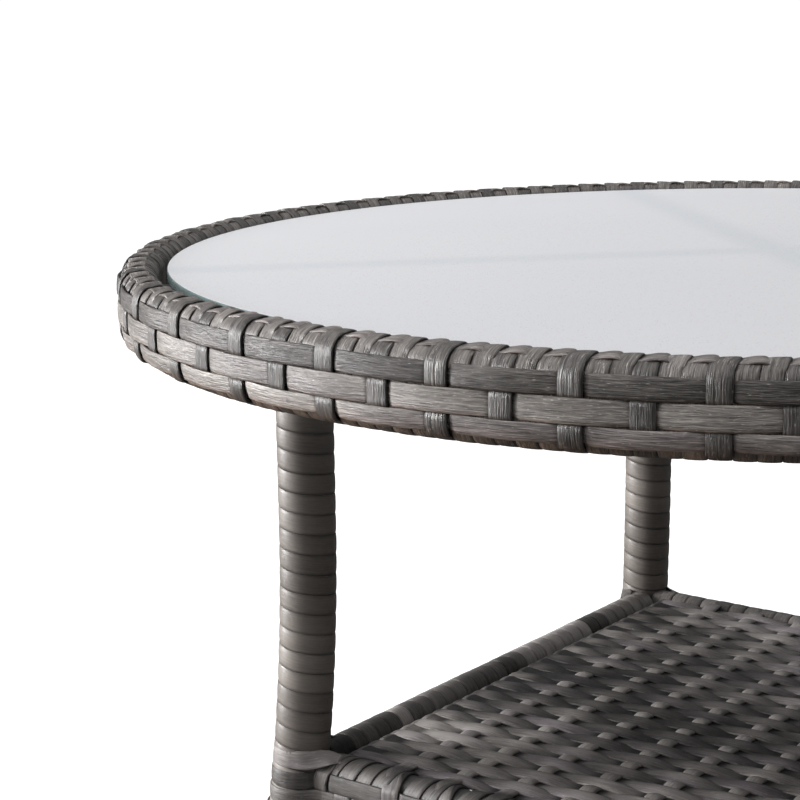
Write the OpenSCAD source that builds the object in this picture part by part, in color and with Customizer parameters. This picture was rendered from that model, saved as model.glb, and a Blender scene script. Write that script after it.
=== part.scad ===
// Round wicker coffee table: woven rim on two steel hoops, loose frosted
// glass, four wrapped legs, square woven shelf, adjustable glides.
// Origin on the floor under the centre of the top, +Z up.
// +X points from leg 1 to leg 4, +Y points from leg 1 to leg 2.

/* [Table top] */
// Diameter over the woven rim
top_d = 650; // [640:5:700]
// Height from the floor to the crown of the rim
height = 440; // [430:5:460]
// Height of the woven rim band
rim_h = 38.4; // [37.5:0.1:40]
// Depth of the glass surface below the crown
glass_drop = 4.3; // [4:0.1:4.6]
// Glass thickness
glass_t = 5; // [4:0.5:5]
// Gap between the glass edge and the inside of the rim
glass_gap = 5; // [3:0.5:8]
// Thickness of the clear glass pads
pad_t = 3; // [3:0.5:4]

/* [Frame tubes] */
// Outside diameter of the hoops and shelf rails
hoop_d = 16; // [15:0.5:16]
// Wall of the hoops and shelf rails
hoop_wall = 1.2; // [1:0.1:2]
// Width of the cross bars under the glass
bar_w = 20; // [18:1:24]
// Height of the cross bars
bar_h = 12; // [11:0.5:13]
// Outside diameter of the leg tubes
leg_d = 25.4; // [25:0.1:26]
// Wall of the leg tubes
leg_wall = 1.5; // [1.2:0.1:2]

/* [Legs] */
// Distance of the leg centres from the table axis under the top
leg_c = 237.1; // [235:0.1:239]
// Height at which the legs start to splay outwards
bend_top_z = 310; // [306:1:314]
// Radius of the leg bend
bend_r = 1289; // [1280:1:1300]
// Angle of the splay at the foot
bend_angle = 6.486; // [6.3:0.001:6.6]

/* [Shelf] */
// Height of the crown of the shelf rails
shelf_z = 189.5; // [186:0.5:192]
// Height of the woven band round the shelf
belt_h = 38.4; // [37.5:0.1:40]
// Half width over the outside of the band
belt_half = 178; // [177:0.5:179]
// Spacing of the shelf warps
warp_pitch = 30; // [29:0.5:31]

/* [Wicker strip] */
// Width of one strip
strip_w = 10; // [9:0.5:10]
// Thickness of one strip
strip_t = 1.3; // [1.2:0.05:1.3]

/* [Glides] */
// Diameter of the floor pads
pad_d = 32; // [28:1:36]
// Screw travel of the glides
glide_travel = 4.5; // [3:0.5:6]

/* [Hidden] */
$fn = 64;
big_fn = 240;
gap = 0.05;
R = top_d / 2;
hoop_ro = hoop_d / 2;
skin_i = hoop_ro + gap;
skin_o = hoop_ro + gap + strip_t;
hoop_c = R - strip_t - gap - skin_o;
hoop_zu = height - strip_t - gap - skin_o;
hoop_zl = height - rim_h + skin_o;
glass_d = 2 * (hoop_c - skin_o - glass_gap);
glass_z = height - glass_drop - glass_t;
bar_top = glass_z - pad_t;
bar_bot = bar_top - bar_h;
bar_end = hoop_c - hoop_ro + 2.6;
leg_ro = leg_d / 2;
leg_ri = leg_ro - leg_wall;
wrap_ri = leg_ro + gap;
wrap_ro = leg_ro + gap + strip_t + 0.15;
flange_t = 2;
leg_top = bar_bot - flange_t;
th = bend_angle;
bend_off = bend_r * (1 - cos(th));
bend_drop = bend_r * sin(th);
bend_end_z = bend_top_z - bend_drop;
foot_c = leg_c + bend_off + bend_end_z * tan(th);
low_len = bend_end_z / cos(th);
tube_end = 23;
// distance of the leg centre from the table axis at height z
function leg_at(z) = z >= bend_top_z ? leg_c
    : z >= bend_end_z ? leg_c + bend_r * (1 - cos(asin((bend_top_z - z) / bend_r)))
    : leg_c + bend_off + (bend_end_z - z) * tan(th);
// the same along one row axis
function leg_xy(z) = leg_at(z) / sqrt(2);
rail_c = belt_half - strip_t - gap - skin_o;
rail_z = shelf_z - skin_o;
belt_z0 = shelf_z - belt_h;
belt_rail_z = belt_z0 + skin_o;
weave_half = rail_c - skin_o - gap;
weft_top = shelf_z - 2.2;
rod_r = 4;
rod_c = rail_c - 18.5;
rod_z = weft_top - strip_t - gap - rod_r;
warp_x0 = 3.5;
leg_ang = [225, 135, 45, -45];
sleeve_a = asin((bend_top_z - shelf_z - 2) / bend_r);
sleeve_low = (belt_z0 - 2) / cos(th) - tube_end - gap;

steel = "#3c3a38";
wicker = "#8a8581";
wicker_dark = "#6f6a67";
wicker_light = "#a39e99";

// ---- helpers ----
module ring(r, z, ro) translate([0, 0, z]) rotate_extrude($fn = big_fn) translate([r, 0]) circle(ro, $fn = 48);
// outline of a sleeve pulled round two hoops, one above the other
module stadium(ro) {
    translate([hoop_c, hoop_zu]) circle(ro);
    translate([hoop_c, hoop_zl]) circle(ro);
    translate([hoop_c - ro, hoop_zl]) square([2 * ro, hoop_zu - hoop_zl]);
}
module bars_solid(w, z0, z1) for (a = [45, 135]) rotate([0, 0, a])
    translate([-bar_end, -w / 2, z0]) cube([2 * bar_end, w, z1 - z0]);
// a rod that follows a leg from distance s above its floor point up to height top
module leg_path(r, s, top) {
    translate([leg_c, 0, bend_top_z]) {
        cylinder(r = r, h = top - bend_top_z);
        translate([bend_r, 0, 0]) rotate([90, 0, 0]) rotate([0, 0, 180])
            rotate_extrude(angle = th, $fn = 1440) translate([bend_r, 0]) circle(r);
        translate([bend_off, 0, -bend_drop]) rotate([0, -th, 0]) translate([0, 0, s - low_len]) cylinder(r = r, h = low_len - s);
    }
}
module all_legs(r) for (a = leg_ang) rotate([0, 0, a]) leg_path(r, tube_end, leg_top);

// ---- top ----
module glass_top() color([0.85, 0.88, 0.89, 0.6]) translate([0, 0, glass_z]) rotate_extrude($fn = big_fn)
    polygon([[0, 0], [glass_d / 2 - 0.7, 0], [glass_d / 2, 0.7], [glass_d / 2, glass_t - 0.7], [glass_d / 2 - 0.7, glass_t], [0, glass_t]]);
module glass_pads() color("#d8dcdc") for (a = leg_ang, r = [118, 282]) rotate([0, 0, a])
    translate([r, 0, bar_top]) cylinder(d = 12, h = pad_t - 0.02);
module hoop(z) color(steel) difference() {
    ring(hoop_c, z, hoop_ro);
    ring(hoop_c, z, hoop_ro - hoop_wall);
}
module upper_hoop() hoop(hoop_zu);
module lower_hoop() hoop(hoop_zl);
module hoop_spacers() color(steel) difference() {
    for (i = [0:7]) rotate([0, 0, 22.5 + 45 * i]) translate([hoop_c, 0, hoop_zl]) cylinder(d = 8, h = hoop_zu - hoop_zl);
    ring(hoop_c, hoop_zu, hoop_ro + 0.01);
    ring(hoop_c, hoop_zl, hoop_ro + 0.01);
}
module bar_tube(x0, x1) difference() {
    translate([x0, -bar_w / 2, bar_bot]) cube([x1 - x0, bar_w, bar_h]);
    translate([x0 - 1, -bar_w / 2 + 1.2, bar_bot + 1.2]) cube([x1 - x0 + 2, bar_w - 2.4, bar_h - 2.4]);
    for (x = [-leg_c, leg_c]) translate([x, 0, bar_bot - 1]) cylinder(d = 6.4, h = bar_h + 2);
    ring(hoop_c, hoop_zu, hoop_ro + 0.01);
    ring(hoop_c, hoop_zl, hoop_ro + 0.01);
}
module cross_bar_1_3() color(steel) rotate([0, 0, 45]) bar_tube(-bar_end, bar_end);
module cross_bar_2_4() color(steel) rotate([0, 0, 135]) {
    bar_tube(bar_w / 2 + gap, bar_end);
    bar_tube(-bar_end, -bar_w / 2 - gap);
}
module leg_bolts() color("silver") for (a = leg_ang) rotate([0, 0, a]) translate([leg_c, 0, 0]) difference() {
    union() {
        translate([0, 0, bar_top]) cylinder(d = 13, h = 2.2);
        translate([0, 0, leg_top - 18]) cylinder(r = 2.95, h = bar_top - leg_top + 18);
    }
    translate([0, 0, bar_top + 0.8]) cylinder(d = 4.6, h = 2, $fn = 6);
}
module rim_wrap() color(wicker) difference() {
    rotate_extrude($fn = big_fn) difference() { stadium(skin_o); stadium(skin_i); }
    bars_solid(bar_w + 2 * gap, bar_bot - gap, bar_top + gap);
}
module band(z0, z1) rotate_extrude($fn = big_fn) translate([R - strip_t, z0]) square([strip_t, z1 - z0]);
module rim_row_1() color(wicker_dark) band(height - 15.9, height - 6.5);
module rim_row_2() color(wicker_light) band(height - 26.2, height - 16);
module rim_row_3() color(wicker_light) band(height - 34.2, height - 26.3);
module crown_strip() color(wicker) rotate_extrude($fn = big_fn) translate([hoop_c, hoop_zu]) intersection() {
    difference() { circle(skin_o + gap + strip_t); circle(skin_o + gap); }
    polygon([[0, 0], [12, 17], [12, 30], [-9, 30], [-9, 19]]);
}

// ---- legs ----
module leg_tube(k) color(steel) rotate([0, 0, leg_ang[k]]) difference() {
    leg_path(leg_ro, tube_end, leg_top);
    leg_path(leg_ri, tube_end - 2, leg_top + 2);
}
// the upper part of the same path: straight, then the bend down to angle a
module leg_upper(r, a, top) translate([leg_c, 0, bend_top_z]) {
    cylinder(r = r, h = top - bend_top_z);
    translate([bend_r, 0, 0]) rotate([90, 0, 0]) rotate([0, 0, 180])
        rotate_extrude(angle = a, $fn = 1440) translate([bend_r, 0]) circle(r);
}
module leg_wrap(k) color(wicker) rotate([0, 0, leg_ang[k]]) {
    difference() {
        leg_upper(wrap_ro, sleeve_a, leg_top - gap);
        leg_upper(wrap_ri, sleeve_a + 0.2, leg_top + 2);
    }
    translate([foot_c, 0, 0]) rotate([0, -th, 0]) translate([0, 0, tube_end + gap]) difference() {
        cylinder(r = wrap_ro, h = sleeve_low);
        translate([0, 0, -1]) cylinder(r = wrap_ri, h = sleeve_low + 2);
    }
}
module leg_plug(k) color("#26262a") rotate([0, 0, leg_ang[k]]) translate([leg_c, 0, 0]) difference() {
    union() {
        translate([0, 0, leg_top]) cylinder(r = leg_ro, h = flange_t);
        translate([0, 0, leg_top - 22]) cylinder(r = leg_ri - gap, h = 22);
    }
    translate([0, 0, leg_top - 23]) cylinder(r = 3, h = 26);
}
module foot_frame(k) rotate([0, 0, leg_ang[k]]) translate([foot_c, 0, 0]) rotate([0, -th, 0]) children();
module foot_insert(k) color("#26262a") foot_frame(k) difference() {
    union() {
        translate([0, 0, tube_end - 3]) cylinder(r = wrap_ro, h = 3);
        translate([0, 0, tube_end]) cylinder(r = leg_ri - gap, h = 22);
    }
    translate([0, 0, tube_end - 4]) cylinder(r = 4, h = 28);
}
module glide_stem(k) color("silver") foot_frame(k) {
    translate([0, 0, 2.6]) cylinder(r = 3.95, h = 39.4);
    translate([0, 0, 9.6]) cylinder(d = 15, h = tube_end - 3 - glide_travel - 0.6 - 9.6, $fn = 6);
}
module glide_pad(k) color("#1f1f22") difference() {
    rotate([0, 0, leg_ang[k]]) translate([foot_c, 0, 0]) rotate_extrude()
        polygon([[0, 0], [pad_d / 2 - 1, 0], [pad_d / 2, 1], [pad_d / 2, 3.5], [pad_d / 2 - 2, 5], [9, 5.4], [7.5, 8], [0, 8]]);
    foot_frame(k) translate([0, 0, 2.55]) cylinder(r = 4, h = 12);
}

// ---- shelf frame ----
// the front and back rails run through, the side rails are cut to sit on them
module through_bore(r, z) for (y = [-rail_c, rail_c]) translate([0, y, z]) rotate([0, 90, 0]) cylinder(r = r, h = 420, center = true);
module rail(z) difference() {
    translate([-rail_c, -rail_c, z]) rotate([0, 90, 0]) difference() {
        cylinder(r = hoop_ro, h = 2 * rail_c);
        translate([0, 0, -1]) cylinder(r = hoop_ro - hoop_wall, h = 2 * rail_c + 2);
    }
    all_legs(leg_ro + 0.01);
}
module side_rail(a, z) difference() {
    rotate([0, 0, a]) rail(z);
    through_bore(hoop_ro + 0.01, z);
}
module shelf_rail(a) color(steel) rotate([0, 0, a]) rail(rail_z);
module belt_rail(a) color(steel) rotate([0, 0, a]) rail(belt_rail_z);
module shelf_side(a) color(steel) side_rail(a, rail_z);
module belt_side(a) color(steel) side_rail(a, belt_rail_z);
module weave_rod(s) color(steel) difference() {
    translate([s * rod_c, 0, rod_z]) rotate([90, 0, 0]) cylinder(r = rod_r, h = 2 * rail_c, center = true);
    through_bore(hoop_ro + 0.01, rail_z);
}
module shelf_brace() color(steel) difference() {
    translate([-10, -rail_c, weft_top - 2 * strip_t - 2 * gap - 6]) cube([20, 2 * rail_c, 6]);
    through_bore(hoop_ro + 0.01, rail_z);
}

// ---- shelf weave ----
module shelf_warps() color(wicker_dark) for (i = [-5:5]) if (abs(warp_x0 + warp_pitch * i) < rod_c - rod_r - strip_w / 2)
    translate([warp_x0 + warp_pitch * i - strip_w / 2, -weave_half, weft_top - 2 * strip_t - gap])
        cube([strip_w, 2 * weave_half, strip_t]);
module shelf_weft() color(wicker) translate([-rod_c - rod_r - 1, -weave_half, weft_top - strip_t])
    cube([2 * (rod_c + rod_r + 1), 2 * weave_half, strip_t]);

// ---- woven band round the shelf ----
// outline of a sleeve pulled round the upper and lower rail of one side
module corner_shape(r) {
    translate([-rail_c, rail_z]) circle(r);
    translate([-rail_c, belt_rail_z]) circle(r);
    translate([-rail_c - r, belt_rail_z]) square([2 * r, rail_z - belt_rail_z]);
}
module belt_wrap() color(wicker) difference() {
    for (a = [0, 90, 180, 270]) rotate([0, 0, a]) rotate([90, 0, 90])
        linear_extrude(height = 2 * (leg_xy(rail_z) - wrap_ro - 1), center = true)
            difference() { corner_shape(skin_o); corner_shape(skin_i); }
    for (s = [-1, 1]) translate([s * rod_c, 0, rod_z]) rotate([90, 0, 0]) cylinder(r = rod_r + gap, h = 2 * rail_c, center = true);
    translate([-10 - gap, -rail_c, weft_top - 2 * strip_t - 3 * gap - 6]) cube([20 + 2 * gap, 2 * rail_c, 6 + 2 * gap]);
}
module belt_outline(half, c, r) {
    square([2 * half, 2 * c], center = true);
    square([2 * c, 2 * half], center = true);
    for (x = [-c, c], y = [-c, c]) translate([x, y]) circle(r);
}
module belt_row(z0, z1) color(wicker_light) translate([0, 0, z0]) linear_extrude(height = z1 - z0) difference() {
    belt_outline(belt_half, leg_xy((z0 + z1) / 2), leg_ro + 0.75 + strip_t);
    belt_outline(belt_half - strip_t, leg_xy((z0 + z1) / 2), leg_ro + 0.75);
}
module belt_row_1() belt_row(shelf_z - 16.7, shelf_z - 7);
module belt_row_2() belt_row(shelf_z - 26.6, shelf_z - 16.8);
module belt_row_3() belt_row(shelf_z - 35.6, shelf_z - 26.7);
module corner_strips() color(wicker_light) for (k = [0:3]) rotate([0, 0, leg_ang[k]])
    translate([leg_at(shelf_z - 3.5), 0, shelf_z - 6.9]) difference() {
        cylinder(r = leg_ro + 0.5 + strip_t, h = 6.8);
        translate([0, 0, -1]) cylinder(r = leg_ro + 0.5, h = 10);
        translate([-30 + 6, 0, 4]) cube([60, 60, 20], center = true);
    }

module leg_tube_1() leg_tube(0);
module leg_tube_2() leg_tube(1);
module leg_tube_3() leg_tube(2);
module leg_tube_4() leg_tube(3);
module leg_wrap_1() leg_wrap(0);
module leg_wrap_2() leg_wrap(1);
module leg_wrap_3() leg_wrap(2);
module leg_wrap_4() leg_wrap(3);
module leg_plug_1() leg_plug(0);
module leg_plug_2() leg_plug(1);
module leg_plug_3() leg_plug(2);
module leg_plug_4() leg_plug(3);
module foot_insert_1() foot_insert(0);
module foot_insert_2() foot_insert(1);
module foot_insert_3() foot_insert(2);
module foot_insert_4() foot_insert(3);
module glide_stem_1() glide_stem(0);
module glide_stem_2() glide_stem(1);
module glide_stem_3() glide_stem(2);
module glide_stem_4() glide_stem(3);
module glide_pad_1() glide_pad(0);
module glide_pad_2() glide_pad(1);
module glide_pad_3() glide_pad(2);
module glide_pad_4() glide_pad(3);
module shelf_rail_front() shelf_rail(0);
module shelf_rail_right() shelf_side(90);
module shelf_rail_back() shelf_rail(180);
module shelf_rail_left() shelf_side(270);
module belt_rail_front() belt_rail(0);
module belt_rail_right() belt_side(90);
module belt_rail_back() belt_rail(180);
module belt_rail_left() belt_side(270);
module weave_rod_left() weave_rod(-1);
module weave_rod_right() weave_rod(1);

glass_top();
glass_pads();
upper_hoop();
lower_hoop();
hoop_spacers();
cross_bar_1_3();
cross_bar_2_4();
leg_bolts();
rim_wrap();
rim_row_1();
rim_row_2();
rim_row_3();
crown_strip();
leg_tube_1();
leg_tube_2();
leg_tube_3();
leg_tube_4();
leg_wrap_1();
leg_wrap_2();
leg_wrap_3();
leg_wrap_4();
leg_plug_1();
leg_plug_2();
leg_plug_3();
leg_plug_4();
foot_insert_1();
foot_insert_2();
foot_insert_3();
foot_insert_4();
glide_stem_1();
glide_stem_2();
glide_stem_3();
glide_stem_4();
glide_pad_1();
glide_pad_2();
glide_pad_3();
glide_pad_4();
shelf_rail_front();
shelf_rail_right();
shelf_rail_back();
shelf_rail_left();
belt_rail_front();
belt_rail_right();
belt_rail_back();
belt_rail_left();
weave_rod_left();
weave_rod_right();
shelf_brace();
shelf_warps();
shelf_weft();
belt_wrap();
belt_row_1();
belt_row_2();
belt_row_3();
corner_strips();
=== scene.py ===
# Round side table in grey synthetic wicker with a frosted glass top.
# It stands on z = 0, centred on the z axis. The front is -Y and the left is -X.
# A woven rim carries the glass, four wound legs splay outwards towards the floor, and a square
# woven band with a basket-weave shelf joins them low down.
# Shapes are worked out in mm and become metres when a mesh is made.
import math

import bpy
import numpy as np
from mathutils import Matrix, Vector


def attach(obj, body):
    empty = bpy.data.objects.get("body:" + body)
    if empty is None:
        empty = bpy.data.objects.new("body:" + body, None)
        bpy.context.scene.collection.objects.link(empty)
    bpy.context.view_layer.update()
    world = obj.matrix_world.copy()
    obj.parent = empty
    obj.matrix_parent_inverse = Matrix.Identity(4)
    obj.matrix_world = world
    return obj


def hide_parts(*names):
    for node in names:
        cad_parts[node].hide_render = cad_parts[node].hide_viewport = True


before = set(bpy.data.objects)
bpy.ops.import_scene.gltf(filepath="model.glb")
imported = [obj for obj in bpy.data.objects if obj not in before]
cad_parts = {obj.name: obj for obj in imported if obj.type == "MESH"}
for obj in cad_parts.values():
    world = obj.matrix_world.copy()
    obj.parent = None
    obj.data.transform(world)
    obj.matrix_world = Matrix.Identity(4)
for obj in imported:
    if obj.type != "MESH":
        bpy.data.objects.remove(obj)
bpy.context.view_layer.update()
scene = bpy.context.scene

MM = 0.001
rng = np.random.RandomState(11)

# ---- frame sizes, the same as the CAD part ----
HOOP_R = 314.3                           # centre radius of the rim's two hoops
HOOP_TOP_Z, HOOP_LOW_Z = 429.3, 410.95
WRAP_R = 8.7                             # wrap surface from the centre of a hoop or rail
STRIP_T = 1.3
LEG_R = 237.1                            # radial place of the upright part of a leg
BEND_TOP_Z, BEND_R, BEND_ANGLE = 310.0, 1289.0, math.radians(6.486)
LEG_DIRECTIONS = [225.0, 135.0, 45.0, -45.0]
RAIL_Y = 167.3                           # rails from the centre, on all four sides
RAIL_TOP_Z, RAIL_LOW_Z = 180.15, 160.45
GLASS_R, GLASS_Z, GLASS_T = 301.6, 430.7, 5.0
FRONT, RIGHT, BACK, LEFT = 0, 90, 180, 270   # turn of each side of the band about z, degrees


# ------------------------------------------------------------------ path helpers
def unit(vectors):
    return vectors / np.maximum(np.linalg.norm(vectors, axis=-1, keepdims=True), 1e-12)


def smooth_step(x):
    x = np.clip(x, 0.0, 1.0)
    return x * x * (3 - 2 * x)


def window(s, start, end, ramp):
    """1 between start and end, 0 outside, with soft ramps centred on both."""
    return smooth_step((s - start) / ramp + 0.5) * (1 - smooth_step((s - end) / ramp + 0.5))


def lifts(s, windows):
    """Highest of several raised stretches, each (height, start, end, ramp)."""
    offset = np.zeros_like(s)
    for height, start, end, ramp in windows:
        offset = np.maximum(offset, height * window(s, start, end, ramp))
    return offset


def soften(values, passes):
    """Smooths the inside of a path in place."""
    for _ in range(passes):
        values[1:-1] = (values[:-2] + 2 * values[1:-1] + values[2:]) / 4


def around(theta, radius, height):
    """Vectors at angles theta about the z axis."""
    height = np.broadcast_to(height, theta.shape)
    return np.stack([radius * np.cos(theta), radius * np.sin(theta), height], 1)


def turned(vectors, degrees):
    """Vectors turned about the z axis."""
    cos, sin = math.cos(math.radians(degrees)), math.sin(math.radians(degrees))
    return vectors @ np.array([[cos, -sin, 0], [sin, cos, 0], [0, 0, 1]]).T


QUARTER = WRAP_R * math.pi / 2


def section_length(top_z, low_z):
    return QUARTER * 4 + 2 * (top_z - low_z)


def section(s, offset, top_z, low_z):
    """Upright section round two stacked tubes: outward distance from the tube centre, height,
    and the outward and upward parts of the normal. s starts at the bottom, climbs the outer
    face, crosses the top and comes down the inner face."""
    crown = QUARTER + (top_z - low_z)
    inner = QUARTER * 3 + (top_z - low_z)
    inner_end = inner + (top_z - low_z)
    phi = np.select([s < QUARTER, s < crown, s < inner, s < inner_end],
                    [s / WRAP_R - math.pi / 2, 0.0, (s - crown) / WRAP_R, math.pi],
                    math.pi + (s - inner_end) / WRAP_R)
    centre_z = np.select([s < QUARTER, s < crown, s < inner, s < inner_end],
                         [low_z, low_z + (s - QUARTER), top_z, top_z - (s - inner)], low_z)
    radius = WRAP_R + offset
    cos, sin = np.cos(phi), np.sin(phi)
    return radius * cos, centre_z + radius * sin, cos, sin


# ------------------------------------------------------------------ strips
# Cross-sections of a strip as ten points: place across it, in half widths, and height, in half
# thicknesses, for a domed strip, a flat one and one wound round a leg.
PROFILE_ACROSS = np.array([-1.0, -0.9, -0.55, 0.0, 0.55, 0.9, 1.0, 0.9, 0.0, -0.9])
PROFILE_DOMED = np.array([0.0, 0.62, 0.98, 1.14, 0.98, 0.62, 0.0, -0.8, -1.0, -0.8])
PROFILE_FLAT = np.array([0.30, 0.86, 0.98, 1.00, 0.98, 0.86, 0.30, -0.8, -1.0, -0.8])
PROFILE_WOUND = np.array([0.30, 0.62, 0.90, 1.00, 0.90, 0.62, 0.30, -1.0, -1.2, -1.0])


def new_object(name, data):
    ob = bpy.data.objects.new(name, data)
    scene.collection.objects.link(ob)
    return ob


class Strips:
    """Collects strips swept along paths and makes one mesh of them."""

    def __init__(self):
        self.points, self.quads, self.coords, self.tones, self.caps = [], [], [], [], []
        self.count = 0

    def add(self, path, normals, width, thickness=STRIP_T, closed=False, start=0.0, seed=0.0,
            tone=0.0, flat=0.0, roll=0.0, dome=1.0, depth=1.0, wound=False):
        """Width, thickness, tone, flat and roll are numbers or one value per path point.
        start and seed place the strip in its texture; flat goes from 0 domed to 1 flat; dome and
        depth scale the upper and lower side; wound takes the leg profile."""
        n, m = len(path), len(PROFILE_ACROSS)
        width, thickness, tone, flat, roll = (
            np.broadcast_to(np.asarray(value, float), (n,))[:, None]
            for value in (width, thickness, tone, flat, roll))
        if closed:
            tangents = np.roll(path, -1, 0) - np.roll(path, 1, 0)
        else:
            tangents = np.gradient(path, axis=0)
        tangents = unit(tangents)
        up = unit(normals - (normals * tangents).sum(1, keepdims=True) * tangents)
        across = np.cross(tangents, up)
        up, across = (up * np.cos(roll) + across * np.sin(roll),
                      across * np.cos(roll) - up * np.sin(roll))
        if wound:
            rise = np.tile(PROFILE_WOUND, (n, 1))
        else:
            domed = PROFILE_DOMED.copy()
            domed[1:6] *= dome
            rise = domed * (1 - flat) + PROFILE_FLAT * flat
        rise[:, 7:] *= depth
        side = PROFILE_ACROSS * width / 2
        points = (path[:, None, :] + across[:, None, :] * side[:, :, None]
                  + up[:, None, :] * (rise * thickness / 2)[:, :, None])
        steps = np.linalg.norm(np.diff(path, axis=0), axis=1)
        coords = np.empty((n, m, 3))
        coords[..., 0] = (np.concatenate([[0], np.cumsum(steps)]) + start)[:, None]
        coords[..., 1] = side
        coords[..., 2] = seed
        i = np.arange(n if closed else n - 1)[:, None]
        j = np.arange(m)[None, :]
        i2, j2 = (i + 1) % n, (j + 1) % m
        quads = np.stack([i * m + j, i * m + j2, i2 * m + j2, i2 * m + j], -1)
        self.quads.append(quads.reshape(-1, 4) + self.count)
        if not closed:
            self.caps.append(list(range(self.count + m - 1, self.count - 1, -1)))
            self.caps.append(list(range(self.count + (n - 1) * m, self.count + n * m)))
        self.points.append(points.reshape(-1, 3))
        self.coords.append(coords.reshape(-1, 3))
        self.tones.append(np.repeat(tone[:, 0], m))
        self.count += n * m

    def make(self, name, material, node):
        points = np.concatenate(self.points) * MM
        quads = np.concatenate(self.quads)
        loops = np.concatenate([quads.ravel()] + [np.array(cap) for cap in self.caps])
        sizes = np.array([4] * len(quads) + [len(cap) for cap in self.caps])
        starts = np.concatenate([[0], np.cumsum(sizes)[:-1]])
        mesh = bpy.data.meshes.new(name)
        mesh.vertices.add(len(points))
        mesh.vertices.foreach_set("co", points.astype(np.float32).ravel())
        mesh.loops.add(len(loops))
        mesh.loops.foreach_set("vertex_index", loops.astype(np.int32))
        mesh.polygons.add(len(sizes))
        mesh.polygons.foreach_set("loop_start", starts.astype(np.int32))
        mesh.polygons.foreach_set("use_smooth", np.ones(len(sizes), bool))
        mesh.update(calc_edges=True)
        # "sc" holds distance along, distance across and seed for the wicker texture
        coords = mesh.attributes.new("sc", "FLOAT_VECTOR", "POINT")
        coords.data.foreach_set("vector", np.concatenate(self.coords).astype(np.float32).ravel())
        tones = mesh.attributes.new("tone", "FLOAT", "POINT")
        tones.data.foreach_set("value", np.concatenate(self.tones).astype(np.float32))
        mesh.validate()
        mesh.materials.append(material)
        place(new_object(name, mesh), "frame", node)


def place(ob, body, node):
    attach(ob, body)
    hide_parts(node)


# ------------------------------------------------------------------ shader helpers
class Nodes:
    """Short ways to build a shader node tree."""

    def __init__(self, tree):
        self.tree = tree
        tree.nodes.clear()

    def node(self, kind):
        return self.tree.nodes.new("ShaderNode" + kind)

    def feed(self, socket, value):
        """Sets a socket to a plain value or links it to another socket."""
        if isinstance(value, (int, float, tuple)):
            socket.default_value = value
        else:
            self.tree.links.new(value, socket)

    def math(self, operation, *values, clamp=False):
        node = self.node("Math")
        node.operation = operation
        node.use_clamp = clamp
        for socket, value in zip(node.inputs, values):
            self.feed(socket, value)
        return node.outputs[0]

    def add(self, a, b):
        return self.math("ADD", a, b)

    def times(self, a, b):
        return self.math("MULTIPLY", a, b)

    def scaled(self, value, factor, offset):
        return self.math("MULTIPLY_ADD", value, factor, offset)

    def centred(self, value, amount):
        """A 0 to 1 value spread over amount, centred on zero."""
        return self.scaled(value, amount, -amount / 2)

    def rising(self, value, start, slope):
        """0 up to start, then rises with slope up to 1."""
        return self.math("MULTIPLY", self.math("SUBTRACT", value, start), slope, clamp=True)

    def noise(self, vector, scale, detail=2.0, rough=0.5):
        node = self.node("TexNoise")
        node.inputs["Scale"].default_value = scale
        node.inputs["Detail"].default_value = detail
        node.inputs["Roughness"].default_value = rough
        self.feed(node.inputs["Vector"], vector)
        return node.outputs[0]

    def combine(self, *values):
        node = self.node("CombineXYZ")
        for socket, value in zip(node.inputs, values):
            self.feed(socket, value)
        return node.outputs[0]

    def split(self, vector):
        node = self.node("SeparateXYZ")
        self.feed(node.inputs[0], vector)
        return node.outputs

    def ramp(self, factor, stops):
        node = self.node("ValToRGB")
        elements = node.color_ramp.elements
        while len(elements) < len(stops):
            elements.new(0.5)
        for element, (position, colour) in zip(elements, stops):
            element.position = position
            element.color = (*colour, 1.0)
        self.feed(node.inputs[0], factor)
        return node.outputs[0]

    def tint(self, colour, factor, by):
        """Multiplies a colour by another where factor is high."""
        node = self.node("Mix")
        node.data_type = "RGBA"
        node.blend_type = "MULTIPLY"
        self.feed(node.inputs["Factor"], factor)
        self.feed(node.inputs["A"], colour)
        self.feed(node.inputs["B"], (*by, 1.0))
        return node.outputs["Result"]

    def bump(self, height, strength, distance):
        node = self.node("Bump")
        node.inputs["Strength"].default_value = strength
        node.inputs["Distance"].default_value = distance
        self.feed(node.inputs["Height"], height)
        return node.outputs[0]


class Material(Nodes):
    """A material with one Principled surface."""

    def __init__(self, name):
        self.material = bpy.data.materials.new(name)
        self.material.use_nodes = True
        super().__init__(self.material.node_tree)
        output = self.node("OutputMaterial")
        self.principled = self.node("BsdfPrincipled")
        self.feed(output.inputs[0], self.principled.outputs[0])

    def surface(self, inputs):
        for name, value in inputs.items():
            self.feed(self.principled.inputs[name], value)
        return self.material


# ------------------------------------------------------------------ materials
WICKER_GREYS = [(0.0, (0.012, 0.011, 0.010)), (0.25, (0.058, 0.053, 0.050)),
                (0.5, (0.150, 0.139, 0.132)), (0.75, (0.290, 0.271, 0.258)),
                (1.0, (0.52, 0.49, 0.47))]
PURPLE_TINT = (0.80, 0.76, 0.86)
BROWN_TINT = (0.95, 0.70, 0.52)


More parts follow.
